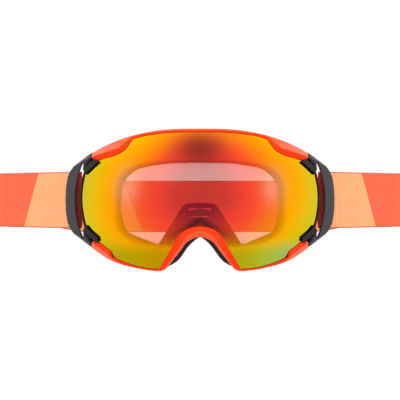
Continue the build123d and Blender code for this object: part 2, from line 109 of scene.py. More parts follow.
FRAME_EDGE = np.vstack([
    smooth([(0, 47.4), (29.2, 46.3), (52.7, 41.4), (74.4, 32.4)], (1, 0), (0.88, -0.47)),
    [(74.5, 29.0), (72.4, 27.4)],
    smooth([(80.2, 20.4), (83.4, 0), (79.2, -21.0)], (0.32, -0.95), (-0.37, -0.93)),
    [(72.6, -27.6), (74.5, -29.4)],
    smooth([(74.6, -33.3), (61, -41.1), (43, -45.9), (27, -47.6)], (-0.86, -0.5), (-1, 0)),
    smooth([(27, -47.6), (23.9, -46.8), (21.2, -44.2)], (-1, 0), (-0.6, 0.8))[1:],
    smooth([(21.2, -44.2), (13.4, -34), (8.2, -27.4), (0, -24.2)], (-0.6, 0.8), (-1, 0))[1:],
])
RIDGE = np.vstack([
    smooth([(0, 46.5), (29.1, 45.4), (44.8, 42.6), (47.8, 41.1)], (1, 0), (0.8, -0.6)),
    [(54.6, 34.9), (74.0, 29.5), (71.8, 27.1)],
    smooth([(79.7, 19.8), (82.6, 0), (78.6, -20.2)], (0.3, -0.95), (-0.33, -0.94)),
    [(71.9, -27.8), (73.4, -29.8), (63.1, -36.6), (58.4, -41.0)],
    smooth([(56.6, -41.9), (43, -45.4), (27.2, -47.1)], (-0.9, -0.4), (-1, 0)),
    [(23.6, -45.4)],
    smooth([(20.4, -41.6), (13.2, -30.4), (8.0, -23.4), (0, -20.4)], (-0.5, 0.86), (-1, 0)),
])
LENS_EDGE = np.vstack([
    smooth([(0, 45.1), (29.0, 44.0), (45.3, 40.9)], (1, 0), (0.94, -0.35)),
    smooth([(45.3, 40.9), (51.4, 33.1), (69.6, 26.9)], (0.5, -0.87), (0.93, -0.37))[1:],
    smooth([(79.6, 18.8), (82.0, 0), (78.4, -19.2)], (0.25, -0.97), (-0.37, -0.93)),
    [(69.6, -28.3), (60.6, -34.9)],
    smooth([(59.3, -38.8), (43.0, -44.4), (27.5, -46.2)], (-0.9, -0.4), (-1, 0)),
    smooth([(27.5, -46.2), (19.4, -32.8), (10.6, -20.2), (0, -17.3)], (-0.5, 0.87), (-1, 0))[1:],
])
WALL_INSIDE = np.vstack([
    smooth([(0, 45.2), (29, 44), (52, 39.2), (69, 27)], (1, 0), (0.75, -0.66)),
    smooth([(69, 27), (81.2, 0), (69.5, -28)], (0.75, -0.66), (-0.74, -0.67))[1:],
    smooth([(69.5, -28), (58.5, -39.6), (43, -43.7), (29, -45.2)], (-0.74, -0.67), (-1, 0))[1:],
    smooth([(29, -45.2), (16.6, -33), (10.4, -25.2), (0, -21.8)], (-0.66, 0.75), (-1, 0))[1:],
])
INNER_LENS_EDGE = np.vstack([
    smooth([(0, 39.4), (34, 37), (60, 27), (75, 0)], (1, 0), (0, -1)),
    smooth([(75, 0), (60, -29), (44, -38), (30, -40)], (0, -1), (-1, 0))[1:],
    smooth([(30, -40), (20, -24.5), (11, -13), (0, -10.5)], (-0.7, 0.7), (-1, 0))[1:],
])
# low in the middle, so that the nose bridge's windows stay open
FOAM_OPENING = np.vstack([
    smooth([(0, 25.6), (31, 24.3), (45.5, 20.6), (55, 8)], (1, 0), (0.1, -1)),
    smooth([(55, 8), (55.4, -10), (49.5, -23)], (0.1, -1), (-0.85, -0.5))[1:],
    [(29, -31), (18.6, -14.9), (16.2, -16.6), (9.6, -12.4), (0, -12.2)],
])
FOAM_EDGE = np.vstack([
    smooth([(0, 45.4), (32, 43.6), (62, 34), (82, 0)], (1, 0), (0, -1)),
    smooth([(82, 0), (68, -32), (46, -43.6), (25, -46.2)], (0, -1), (-1, 0))[1:],
    smooth([(25, -46.2), (16.4, -42.4), (7, -30.6), (0, -25)], (-1, 0.1), (-0.9, 0.45))[1:],
])


class Rays:
    """Rays that fan out from a middle point, on which outlines are measured to make matching rings."""

    def __init__(self, middle_z, outlines, count=150):
        self.middle = np.array((0.0, middle_z))
        angles = set(np.linspace(pi / 2, -pi / 2, count).round(5))
        for outline in outlines:
            step = np.diff(outline, axis=0)
            heading = np.unwrap(np.arctan2(step[:, 1], step[:, 0]))
            corners = outline[1:-1][np.abs(np.diff(heading)) > 0.2] - self.middle
            angles |= set(np.arctan2(corners[:, 1], corners[:, 0]).round(5))
        ordered = sorted(angles, reverse=True)
        kept = [ordered[0]]
        for angle in ordered[1:-1]:
            if kept[-1] - angle > 0.002:
                kept.append(angle)
        self.half = np.array([*kept, ordered[-1]])
        self.angle = np.concatenate([self.half, self.half[-2:0:-1]])
        side = np.where(np.arange(len(self.angle)) < len(self.half), 1, -1)
        self.direction = np.stack([side * np.cos(self.angle), np.sin(self.angle)], axis=1)

    def reach(self, outline):
        """How far the outline lies from the middle along each ray."""
        p = outline - self.middle
        turn = np.maximum.accumulate(-np.arctan2(p[:, 1], p[:, 0]))
        k = np.clip(np.searchsorted(turn, -self.half, side="right") - 1, 0, len(p) - 2)
        a, run = p[k], p[k + 1] - p[k]
        d = np.stack([np.cos(self.half), np.sin(self.half)], axis=1)
        r = (a[:, 0] * run[:, 1] - a[:, 1] * run[:, 0]) / (d[:, 0] * run[:, 1] - d[:, 1] * run[:, 0])
        return np.concatenate([r, r[-2:0:-1]])

    def ring(self, reach, surface):
        """Points on the rays at the given reach, laid on a surface y = surface(x, z)."""
        flat = self.middle + self.direction * np.asarray(reach)[:, None]
        return np.stack([flat[:, 0], surface(flat[:, 0], flat[:, 1]), flat[:, 1]], axis=1)

    def over(self, stops):
        """A value for each ray, from (angle in degrees, value) stops that run from 90 down to -90."""
        angles, values = zip(*stops)
        return np.interp(-np.degrees(self.angle), [-angle for angle in angles], values)


def ball(radius):
    """The front of a ball about the lens centre, as y = f(x, z). The radius may differ for each point."""
    return lambda x, z: LENS_CENTRE_Y - np.sqrt(radius * radius - x * x - z * z)


def drum(radius):
    """The front of an upright drum about the face axis, as y = f(x, z)."""
    return lambda x, z: FACE_CENTRE_Y - np.sqrt(radius * radius - x * x)


# ---- mesh making -----------------------------------------------------
def loft(rings, closed=False, caps=False):
    """Faces between rings of equal length. A closed loft joins its last ring to its first."""
    n = len(rings[0])
    verts = np.vstack(rings)
    faces = []
    pairs = [(k, k + 1) for k in range(len(rings) - 1)]
    if closed:
        pairs.append((len(rings) - 1, 0))
    for a, b in pairs:
        for i in range(n):
            j = (i + 1) % n
            faces.append((a * n + i, a * n + j, b * n + j, b * n + i))
    if caps:
        faces.append(tuple(range(n)))
        faces.append(tuple(range((len(rings) - 1) * n, len(rings) * n)))
    return verts, faces


def disc(rings):
    """A loft whose first and last rings close to a point each."""
    verts, faces = loft(rings)
    n = len(rings[0])
    last = (len(rings) - 1) * n
    poles = np.stack([rings[0].mean(axis=0), rings[-1].mean(axis=0)])
    for i in range(n):
        j = (i + 1) % n
        faces.append((len(verts), i, j))
        faces.append((len(verts) + 1, last + j, last + i))
    return np.vstack([verts, poles]), faces


def gather(*shapes):
    """Several shapes as one."""
    verts, faces, base = [], [], 0
    for shape_verts, shape_faces in shapes:
        verts.append(np.asarray(shape_verts, float))
        faces += [tuple(base + i for i in face) for face in shape_faces]
        base += len(shape_verts)
    return np.vstack(verts), faces


def mirrored(shape):
    """The same shape on the other side of the middle plane."""
    verts, faces = shape
    return np.asarray(verts) * (-1, 1, 1), [face[::-1] for face in faces]


def both_sides(shape):
    """A shape drawn for the right side, and its mirror image, each with its side's name."""
    return ("right", shape), ("left", mirrored(shape))


def prism(outline, low, high):
    """An upright prism over an outline of x, y points."""
    rings = [np.array([(x, y, z) for x, y in outline]) for z in (low, high)]
    return loft(rings, caps=True)


def tube(middle, low, high, radius, bore=0.0, chamfer=0.3, sides=32):
    """An upright tube or rod with chamfered ends."""
    turn = np.linspace(0, 2 * pi, sides, endpoint=False)
    profile = [(radius, low + chamfer), (radius, high - chamfer), (radius - chamfer, high)]
    if bore:
        profile += [(bore, high), (bore, low)]
    profile += [(radius - chamfer, low)]
    rings = [
        np.stack([middle[0] + r * np.cos(turn), middle[1] + r * np.sin(turn), np.full(sides, z)], axis=1)
        for r, z in profile
    ]
    if bore:
        return loft(rings, closed=True)
    return loft([rings[-1], *rings[:-1]], caps=True)


def piece(name, shape, look, body=None, sharp=30.0, uv=None):
    """Makes one object from a shape in millimetres."""
    verts, faces = shape
    mesh = bpy.data.meshes.new(name)
    mesh.from_pydata((np.asarray(verts, float) * MM).tolist(), [], [list(map(int, f)) for f in faces])
    mesh.validate()
    obj = bpy.data.objects.new(name, mesh)
    bpy.context.scene.collection.objects.link(obj)
    bpy.context.view_layer.objects.active = obj
    obj.select_set(True)
    bpy.ops.object.mode_set(mode="EDIT")
    bpy.ops.mesh.select_all(action="SELECT")
    bpy.ops.mesh.normals_make_consistent(inside=False)
    bpy.ops.object.mode_set(mode="OBJECT")
    obj.select_set(False)
    mesh.shade_smooth()
    mesh.set_sharp_from_angle(angle=radians(sharp))
    if uv is not None:
        layer = mesh.uv_layers.new(name="UVMap")
        for loop in mesh.loops:
            layer.data[loop.index].uv = uv[loop.vertex_index]
    mesh.materials.append(look)
    if body:
        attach(obj, body)
    return obj


def paint(obj, look):
    """Gives an object one material in place of those it has."""
    obj.data.materials.clear()
    obj.data.materials.append(look)


def add_bevel(obj, width):
    """Rounds an object's sharp edges by a width in millimetres."""
    rounding = obj.modifiers.new("rounded_edges", "BEVEL")
    rounding.width = width * MM
    rounding.segments = 2
    rounding.limit_method = "ANGLE"
    rounding.angle_limit = radians(35.0)


def roughen(shape, amount, size):
    """Moves each vertex by smooth noise, up to an amount in millimetres, over lumps of a given size."""
    verts, faces = shape
    shift = np.array([noise.noise_vector(Vector(v) / size) for v in verts])
    return verts + amount * shift, faces


# ---- looks -----------------------------------------------------------
def add_node(tree, kind, inputs, **settings):
    """Adds a node. Its inputs are values or other nodes' outputs, by name or by number."""
    made = tree.nodes.new("ShaderNode" + kind)
    for setting, value in settings.items():
        setattr(made, setting, value)
    for key, value in inputs.items():
        if isinstance(value, bpy.types.NodeSocket):
            tree.links.new(value, made.inputs[key])
        else:
            made.inputs[key].default_value = value
    return made


class Look:
    """A material whose nodes are added one by one."""

    def __init__(self, name, **sockets):
        self.material = bpy.data.materials.new(name)
        self.material.use_nodes = True
        self.tree = self.material.node_tree
        self.shader = self.tree.nodes["Principled BSDF"]
        for socket, value in sockets.items():
            self.shader.inputs[socket.replace("_", " ")].default_value = value
        self.coordinates = self.node("TexCoord", {}).outputs

    def node(self, kind, inputs, **settings):
        return add_node(self.tree, kind, inputs, **settings)

    def math(self, operation, *values):
        return self.node("Math", dict(enumerate(values)), operation=operation).outputs[0]

    def times(self, a, b):
        return self.math("MULTIPLY", a, b)

    def plus(self, a, b):
        return self.math("ADD", a, b)

    def minus(self, a, b):
        return self.math("SUBTRACT", a, b)

    def noise(self, scale, detail=2.0, roughness=0.5):
        inputs = {"Vector": self.coordinates["Object"], "Scale": scale}
        inputs |= {"Detail": detail, "Roughness": roughness}
        return self.node("TexNoise", inputs).outputs["Fac"]

    def ramp(self, factor, stops, interpolation="LINEAR"):
        made = self.node("ValToRGB", {"Fac": factor})
        made.color_ramp.interpolation = interpolation
        elements = made.color_ramp.elements
        while len(elements) < len(stops):
            elements.new(0.5)
        for element, (position, _) in zip(elements, stops):
            element.position = position
        for element, (_, colour) in zip(elements, stops):
            element.color = (*colour, 1.0)
        return made.outputs["Color"]

    def mix(self, factor, a, b, blend_type="MIX"):
        inputs = {0: factor, 6: a, 7: b}
        return self.node("Mix", inputs, data_type="RGBA", blend_type=blend_type).outputs[2]

    def share(self, value, start, end, **settings):
        """How far a value has come from start to end, held between 0 and 1."""
        inputs = {"Value": value, "From Min": start, "From Max": end}
        return self.node("MapRange", inputs, **settings).outputs["Result"]

    def range(self, value, low, high):
        """A 0 to 1 value spread over low to high."""
        return self.node("MapRange", {"Value": value, "To Min": low, "To Max": high}).outputs["Result"]

    def place(self):
        """The point's x, y and z in the object's own space."""
        split = self.node("SeparateXYZ", {"Vector": self.coordinates["Object"]})
        return split.outputs["X"], split.outputs["Y"], split.outputs["Z"]

    def finish(self, height=None, depth=None, strength=None, **linked):
        """Links the shader's varying inputs and an optional bump height."""
        for socket, value in linked.items():
            self.tree.links.new(value, self.shader.inputs[socket.replace("_", " ")])
        if height is not None:
            bump = self.node("Bump", {"Height": height, "Distance": depth, "Strength": strength})
            self.tree.links.new(bump.outputs["Normal"], self.shader.inputs["Normal"])
        return self.material

    def spot(self, x, z, middle, spread):
        """A soft round or oval patch: 1 in its middle, fading to 0."""
        wide = self.times(self.minus(x, middle[0]), 1 / spread[0])
        tall = self.times(self.minus(z, middle[1]), 1 / spread[1])
        squares = self.plus(self.times(wide, wide), self.times(tall, tall))
        return self.math("EXPONENT", self.times(squares, -1.0))

    def let_light_through(self, tone, share):
        """Mixes in light that comes through from the other side, as thin cloth does."""
        through = self.node("BsdfTranslucent", {"Color": tone})
        both = self.node("MixShader", {0: share, 1: self.shader.outputs[0], 2: through.outputs[0]})
        self.tree.links.new(both.outputs[0], self.tree.nodes["Material Output"].inputs["Surface"])
        return self.material


def moulded_plastic(name, colour, darker, roughness, grain, shine=0.5):
    """Moulded plastic with a fine grain, faint flow marks and uneven gloss."""
    look = Look(name, IOR=1.48, Specular_IOR_Level=shine)
    marks = look.noise(55.0, 3.0)
    tone = look.mix(look.range(marks, 0.0, 0.5), (*colour, 1), (*darker, 1))
    gloss = look.range(look.noise(160.0, 4.0, 0.7), roughness - 0.07, roughness + 0.09)
    height = look.noise(grain, 2.0, 0.6)
    return look.finish(height, 0.00003, 0.55, Base_Color=tone, Roughness=gloss)


def mirror_coating():
    """The outer lens: a red mirror that turns orange, yellow and green towards its edge."""
    look = Look("mirror_coating", Metallic=1.0, Roughness=0.06, IOR=1.5)
    x, _, z = look.place()
    # how far out a point lies, on an oval that leans a little and reaches further up than down
    leaning = look.minus(x, look.times(z, 0.12))
    across = look.times(leaning, 1 / 0.066)
    above = look.minus(z, 0.002)
    high_part = look.times(look.math("MAXIMUM", above, 0.0), 1 / 0.060)
    low_part = look.times(look.math("MINIMUM", above, 0.0), 1 / 0.047)
    up = look.plus(high_part, low_part)
    squares = look.plus(look.times(across, across), look.times(up, up))
    drift = look.range(look.noise(28.0, 1.0), -0.03, 0.03)
    out = look.plus(look.math("SQRT", squares), drift)
    half_out = look.times(out, 0.5)
    tone = look.ramp(half_out, [
        (0.00, (0.38, 0.014, 0.030)),
        (0.12, (0.50, 0.020, 0.034)),
        (0.23, (0.94, 0.050, 0.036)),
        (0.30, (1.00, 0.100, 0.020)),
        (0.36, (1.00, 0.220, 0.003)),
        (0.43, (1.00, 0.340, 0.000)),
        (0.50, (0.98, 0.430, 0.000)),
        (0.57, (0.78, 0.530, 0.000)),
        (0.61, (0.66, 0.550, 0.001)),
    ])
    # the lower part turns olive on the left and green on the right
    low = look.share(z, -0.024, -0.038, interpolation_type="SMOOTHSTEP")
    low_tone = look.ramp(look.share(x, -0.066, 0.066), [
        (0.05, (0.46, 0.38, 0.004)),
        (0.20, (0.48, 0.32, 0.000)),
        (0.30, (0.50, 0.28, 0.000)),
        (0.72, (0.42, 0.38, 0.004)),
        (0.80, (0.42, 0.46, 0.016)),
        (0.88, (0.37, 0.50, 0.060)),
        (0.97, (0.34, 0.50, 0.160)),
    ])
    tone = look.mix(low, tone, low_tone)
    # a dark patch at the top middle: painted shade, standing in for the shaded inside behind the brow
    top_painted_shade = look.times(look.spot(x, z, (0.0, 0.034), (0.021, 0.014)), 0.90)
    tone = look.mix(top_painted_shade, tone, (0.16, 0.022, 0.014, 1))
    # painted reflections: pale glows at both ends of the window; painted shade: a dark band that follows
    # the nose arch
    beside = look.math("ABSOLUTE", x)
    # the glows are painted reflections of the studio lights, mixed into the coating's colour
    glow = look.times(look.spot(beside, z, (0.0475, 0.008), (0.007, 0.010)), 0.50)
    tone = look.mix(glow, tone, (1.0, 0.62, 0.46, 1))
    # the band is painted shade: the dark, shaded inside above the nose arch, mixed into the coating's
    # colour
    over_arch = look.plus(z, look.times(beside, 0.55))
    band = look.times(look.spot(beside, over_arch, (0.0, -0.0135), (0.017, 0.0034)), 0.85)
    tone = look.mix(band, tone, (0.07, 0.012, 0.014, 1))
    # the coating lets most light through over the window and least at the edge
    wide = look.math("POWER", look.math("ABSOLUTE", look.times(x, 1 / 0.057)), 4.0)
    centred = look.plus(z, 0.0025)
    tall = look.math("POWER", look.math("ABSOLUTE", look.times(centred, 1 / 0.0286)), 4.0)
    # half of the sum, so that it stays within the ramp
    beyond = look.times(look.plus(wide, tall), 0.5)
    cover = look.ramp(beyond, [(0.05, (0.36,) * 3), (0.34, (0.42,) * 3), (0.54, (0.96,) * 3)])
    haze = look.range(look.noise(420.0, 5.0, 0.7), 0.04, 0.10)
    return look.finish(Base_Color=tone, Alpha=cover, Roughness=haze)


def clear_tint():
    """The inner lens: clear, with a rose tint."""
    look = Look("clear_tint", Transmission_Weight=1.0, IOR=1.02)
    look.shader.inputs["Roughness"].default_value = 0.0
    tint = look.mix(look.noise(35.0), (0.96, 0.72, 0.65, 1), (0.94, 0.70, 0.63, 1))
    return look.finish(Base_Color=tint)


def open_cell_foam(name, colour, cell):
    """Black foam with open cells."""
    look = Look(name, IOR=1.3)
    cells = look.node("TexVoronoi", {"Vector": look.coordinates["Object"], "Scale": cell})
    pore_depth_and_painted_shade = look.math("POWER", cells.outputs["Distance"], 0.6)
    # the hollows of the cells are darker: painted shade in the pores, from the same values that sink them
    # in the bump
    dark = tuple(0.35 * c for c in colour)
    tone = look.mix(pore_depth_and_painted_shade, (*dark, 1), (*colour, 1))
    rough = look.range(look.noise(300.0), 0.82, 1.0)
    return look.finish(pore_depth_and_painted_shade, 0.00022, 0.8, Base_Color=tone, Roughness=rough)


def brushed_fleece():
    """The face side of the foam: short brushed nap."""
    look = Look("brushed_fleece", Sheen_Weight=0.55, Sheen_Roughness=0.45, IOR=1.3)
    nap = look.noise(2600.0, 6.0, 0.75)
    brushed = look.noise(190.0, 4.0, 0.6)
    tone = look.mix(brushed, (0.018, 0.018, 0.021, 1), (0.050, 0.050, 0.056, 1))
    height = look.plus(look.times(nap, 0.6), brushed)
    return look.finish(height, 0.00035, 0.9, Base_Color=tone, Roughness=look.range(nap, 0.85, 1.0))


# where the strap changes colour, in centimetres along its middle line from the fold
COLOUR_CHANGES = (4.34, 10.6, 20.2)
COLOUR_SPAN = 40.0
COLOUR_SLANT = 0.38
YARN, PICK = 0.088, 0.062


def woven_strap():
    """Woven elastic in coral and peach. UVs are in centimetres, along the strap and across it."""
    look = Look("woven_strap", Sheen_Weight=0.12, Sheen_Roughness=0.5, IOR=1.35)
    uv = look.node("SeparateXYZ", {"Vector": look.coordinates["UV"]})
    along, across = uv.outputs["X"], uv.outputs["Y"]
    # the colours change on slanted lines
    slanted = look.plus(along, look.times(across, COLOUR_SLANT))
    share = look.times(slanted, 1 / COLOUR_SPAN)
    coral, peach = (0.93, 0.115, 0.045), (0.95, 0.385, 0.158)
    # counted on the middle line, 2 cm above the lower edge
    starts = [(change + 2 * COLOUR_SLANT) / COLOUR_SPAN for change in COLOUR_CHANGES]
    areas = [(0.0, peach), (starts[0], coral), (starts[1], peach), (starts[2], coral)]
    tone = look.ramp(share, areas, "CONSTANT")
    # the fold round the bar and the tail behind it are a lighter coral, painted light that makes up for
    # the shade of the narrow slot between arm and frame, and let some light through
    fold = look.math("LESS_THAN", along, 0.05)
    tone = look.mix(fold, tone, (1.0, 0.36, 0.28, 1))
    # firm edges in a darker coral
    from_middle = look.math("ABSOLUTE", look.minus(across, 2.0))
    edge = look.math("GREATER_THAN", from_middle, 1.925)
    tone = look.mix(edge, tone, (0.66, 0.055, 0.018, 1))
    # plain weave: yarns along and across, each going over and under
    yarn = look.math("SINE", look.times(across, 2 * pi / YARN))
    pick = look.math("SINE", look.times(along, 2 * pi / PICK))
    crossing = look.times(yarn, pick)
    rib = look.math("ABSOLUTE", look.math("SINE", look.times(across, pi / YARN)))
    height = look.plus(look.times(crossing, 0.35), look.times(rib, 0.5))
    shade = look.range(look.times(look.plus(crossing, 1.0), 0.5), 0.86, 1.0)
    patchy = look.range(look.noise(90.0, 3.0), 0.92, 1.04)
    level = look.times(shade, patchy)
    grey = look.node("CombineColor", {0: level, 1: level, 2: level})
    tone = look.mix(1.0, tone, grey.outputs[0], "MULTIPLY")
    rough = look.range(look.noise(240.0), 0.66, 0.86)
    look.finish(height, 0.00016, 0.7, Base_Color=tone, Roughness=rough)
    return look.let_light_through(tone, look.times(fold, 0.75))


def sewing_thread(name, dark, light):
    look = Look(name, Sheen_Weight=0.1, IOR=1.45)
    twist = look.noise(3000.0, 2.0)
    tone = look.mix(twist, (*dark, 1), (*light, 1))
    return look.finish(twist, 0.00005, 0.8, Base_Color=tone, Roughness=look.range(twist, 0.5, 0.75))


def turned_steel():
    look = Look("turned_steel", Metallic=1.0, IOR=1.5)
    _, _, z = look.place()
    lathe = look.math("SINE", look.times(z, 2 * pi / 0.00022))
    smudge = look.noise(400.0, 3.0)
    tone = look.mix(smudge, (0.42, 0.42, 0.44, 1), (0.62, 0.62, 0.64, 1))
    return look.finish(lathe, 0.00001, 0.5, Base_Color=tone, Roughness=look.range(smudge, 0.22, 0.42))


def soft_silicone():
    look = Look("soft_silicone", Subsurface_Weight=0.25, Coat_Weight=0.2, IOR=1.41)
    look.shader.inputs["Subsurface Radius"].default_value = (0.002, 0.001, 0.0006)
    cloud = look.noise(260.0, 3.0)
    tone = look.mix(cloud, (0.72, 0.26, 0.15, 1), (0.84, 0.36, 0.22, 1))
    return look.finish(cloud, 0.00005, 0.4, Base_Color=tone, Roughness=look.range(cloud, 0.32, 0.5))


# name, colour, darker colour, roughness, grain, shine
ORANGE = moulded_plastic(
    "orange_moulding", (0.90, 0.082, 0.014), (0.82, 0.060, 0.010), 0.34, 2400.0, 0.30)
# the orange moulding made darker: painted shade for the facets that slope down to the lens
ORANGE_PAINTED_SHADE = moulded_plastic(
    "orange_moulding_painted_shade", (0.86, 0.040, 0.004), (0.76, 0.030, 0.003), 0.40, 2400.0, 0.06)
# the orange moulding made dark maroon: painted shade for the side rims in the outriggers' shadow
SIDE_RIM_PAINTED_SHADE = moulded_plastic(
    "side_rim_painted_shade", (0.090, 0.010, 0.008), (0.060, 0.007, 0.006), 0.45, 2400.0, 0.30)
INSIDE_BLACK = moulded_plastic(
    "inside_black", (0.020, 0.017, 0.018), (0.012, 0.010, 0.011), 0.60, 1800.0, 0.20)
CLAW_CHARCOAL = moulded_plastic(
    "charcoal_claws", (0.014, 0.010, 0.010), (0.009, 0.007, 0.007), 0.50, 3200.0, 0.16)
CHARCOAL = moulded_plastic(
    "charcoal_moulding", (0.036, 0.031, 0.038), (0.022, 0.019, 0.024), 0.42, 3200.0)
MIRROR = mirror_coating()
CLEAR = clear_tint()
GASKET_FOAM = open_cell_foam("gasket_foam", (0.028, 0.027, 0.028), 3400.0)
VENT_FOAM = open_cell_foam("vent_foam", (0.050, 0.048, 0.048), 1500.0)
FACE_FOAM = open_cell_foam("face_foam", (0.040, 0.038, 0.042), 2400.0)
FLEECE = brushed_fleece()
WEBBING = woven_strap()
CORAL_THREAD = sewing_thread("coral_thread", (0.62, 0.060, 0.024), (0.86, 0.130, 0.055))
PEACH_THREAD = sewing_thread("peach_thread", (0.74, 0.270, 0.110), (0.90, 0.360, 0.150))
STEEL = turned_steel()
SILICONE = soft_silicone()


# ---- studio ----------------------------------------------------------
CAMERA_DISTANCE = 0.754
CAMERA_LENS = 96.98
FLOOR_DROP = 0.45
FLOOR_RADIUS = 6.0


def build_studio():
    scene = bpy.context.scene
    scene.view_settings.view_transform = "Standard"
    camera = bpy.data.objects.new("camera", bpy.data.cameras.new("camera"))
    camera.data.sensor_width = 36.0
    camera.data.lens = CAMERA_LENS
    camera.location = (0, -CAMERA_DISTANCE, 0)
    camera.rotation_euler = (radians(90), 0, 0)
    scene.collection.objects.link(camera)
    scene.camera = camera

    world = bpy.data.worlds.new("studio")
    scene.world = world
    world.use_nodes = True
    tree = world.node_tree
    direction = add_node(tree, "TexCoord", {}).outputs["Generated"]
    up = add_node(tree, "SeparateXYZ", {"Vector": direction}).outputs["Z"]
    inputs = {"Value": up, "From Min": 0.25, "From Max": 0.9, "To Min": 1.04, "To Max": 1.4}
    glow = add_node(tree, "MapRange", inputs, interpolation_type="SMOOTHSTEP")
    sky = tree.nodes["Background"].inputs
    tree.links.new(glow.outputs["Result"], sky["Strength"])
    sky["Color"].default_value = (1, 1, 1, 1)

    turn = np.linspace(0, 2 * pi, 96, endpoint=False)
    drop = np.full(len(turn), -FLOOR_DROP)
    rim = np.stack([FLOOR_RADIUS * np.cos(turn), FLOOR_RADIUS * np.sin(turn), drop], axis=1)
    mesh = bpy.data.meshes.new("floor")
    mesh.from_pydata(rim.tolist(), [], [list(range(len(rim)))])
    floor = bpy.data.objects.new("floor", mesh)
    scene.collection.objects.link(floor)
    # pale near the object, and white further out, so that it meets the background without a line
    look = Look("floor_paint", Roughness=0.9, IOR=1.3)
    x, y, _ = look.place()
    away = look.math("SQRT", look.plus(look.times(x, x), look.times(y, y)))
    far = look.share(away, 0.5, 1.6)
    speckle = look.noise(60.0, 4.0)
    near_tone = look.mix(speckle, (0.60, 0.60, 0.60, 1), (0.63, 0.63, 0.63, 1))
    tone = look.mix(far, near_tone, (0, 0, 0, 1))
    look.shader.inputs["Emission Color"].default_value = (1, 1, 1, 1)
    look.finish(Base_Color=tone, Emission_Strength=far)
    mesh.materials.append(look.material)

    for name, place, size, power in (
        ("key_light", (-0.9, -1.1, 1.3), 0.9, 9.0),
        ("fill_light", (1.2, -0.9, 0.5), 1.0, 4.0),
        ("top_light", (0.0, -0.35, 1.3), 1.1, 9.0),
    ):
        lamp = bpy.data.objects.new(name, bpy.data.lights.new(name, "AREA"))
        lamp.data.size = size
        lamp.data.energy = power
        lamp.location = place
        lamp.rotation_euler = (-Vector(place)).to_track_quat("-Z", "Y").to_euler()
        lamp.visible_glossy = False
        scene.collection.objects.link(lamp)


# ---- lens pack -------------------------------------------------------
LENS_MIDDLE_Z = 12.0
OUTER_LENS_BEVEL, INNER_LENS_BEVEL = 0.2, 0.25
INWARD_STEPS = (0.985, 0.95, 0.88, 0.78, 0.66, 0.53, 0.40, 0.27, 0.14, 0.05)


def lens_shell(rays, outline, front, back, bevel):
    """A curved pane: front and back surfaces in rings, with a rounded edge between them."""
    edge = rays.reach(outline)
    inside = [rays.ring((edge - bevel) * share, ball(front)) for share in reversed(INWARD_STEPS)]
    rim = [
        rays.ring(edge - bevel, ball(front)),
        rays.ring(edge - 0.3 * bevel, ball(front - 0.3 * bevel)),
        rays.ring(edge, ball(front - bevel)),
        rays.ring(edge, ball(back + 0.15)),
        rays.ring(edge - 0.2, ball(back)),
    ]
    behind = [rays.ring((edge - 0.2) * share, ball(back)) for share in INWARD_STEPS]
    return disc([*inside, *rim, *behind])


def build_lens_pack():
    rays = Rays(LENS_MIDDLE_Z, [LENS_EDGE], 220)
    shape = lens_shell(rays, LENS_EDGE, LENS_RADIUS, LENS_BACK_RADIUS, OUTER_LENS_BEVEL)
    outer = piece("mirror_lens", shape, MIRROR, "frame", sharp=40)
    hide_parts("outer_lens")

    rays = Rays(LENS_MIDDLE_Z, [INNER_LENS_EDGE], 150)
    shape = lens_shell(rays, INNER_LENS_EDGE, INNER_FRONT, INNER_BACK, INNER_LENS_BEVEL)
    inner = piece("clear_lens", shape, CLEAR, "frame", sharp=40)
    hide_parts("inner_lens")

    # how far out from the inner lens's edge, and how far forward from the gasket's back
    edge = rays.reach(INNER_LENS_EDGE)
    profile = [(0.0, 0.6), (0.0, 0.94), (-0.4, 1.0), (-2.5, 1.0), (-4.6, 1.0), (-5.0, 0.94)]
    profile += [(-5.0, 0.06), (-4.6, 0.0), (-2.5, 0.0), (-0.4, 0.0), (0.0, 0.06)]
    rings = [
        rays.ring(edge + out, ball(GASKET_BACK + share * (GASKET_FRONT - GASKET_BACK)))
        for out, share in profile
    ]
    shape = roughen(loft(rings, closed=True), 0.05, 3.0)
    gasket = piece("gasket_ring", shape, GASKET_FOAM, "frame")
    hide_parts("lens_gasket")


# ---- frame moulding --------------------------------------------------
BROW_VENTS = [(x, 44.5, 1) for x in (-34.0, -17.0, 0.0, 17.0, 34.0)]
CHEEK_VENTS = [(x, -43.6, -1) for x in (-44.0, 44.0)]
VENT_LENGTH, VENT_DEPTH = 12.0, 6.0
# the cutters reach from inside the frame to well past its edge
CUTTER_START, CUTTER_END = 20.0, 70.0
THINNEST_WALL, SEAT_MARGIN, LENS_GAP = 1.6, 0.6, 0.06
SIDE_RIM_X = 78.0
# bands of faces between the moulding's rings, counted from the lens outward, back and in again
LAST_FACET_BAND, LAST_FRONT_BAND, FIRST_INSIDE_BAND = 2, 6, 10


def vent_cutter():
    """Upright slots through the brow and the cheeks."""
    slots = []
    for x, z, up in BROW_VENTS + CHEEK_VENTS:
        seat = LENS_CENTRE_Y - sqrt(SEAT_BACK**2 - x * x - z * z)
        rear = FACE_CENTRE_Y - sqrt(FLANGE_RADIUS**2 - x * x)
        middle = (seat + rear) / 2
        radius = VENT_DEPTH / 2
        half_run = VENT_LENGTH / 2 - radius
        outline = []
        for side in (1, -1):
            for turn in np.linspace(-90, 90, 9):
                across = half_run + radius * cos(radians(turn))
                outline.append((x + side * across, middle + side * radius * sin(radians(turn))))
        low, high = sorted((up * CUTTER_START, up * CUTTER_END))
        slots.append(prism(outline, low, high))
    return gather(*slots)


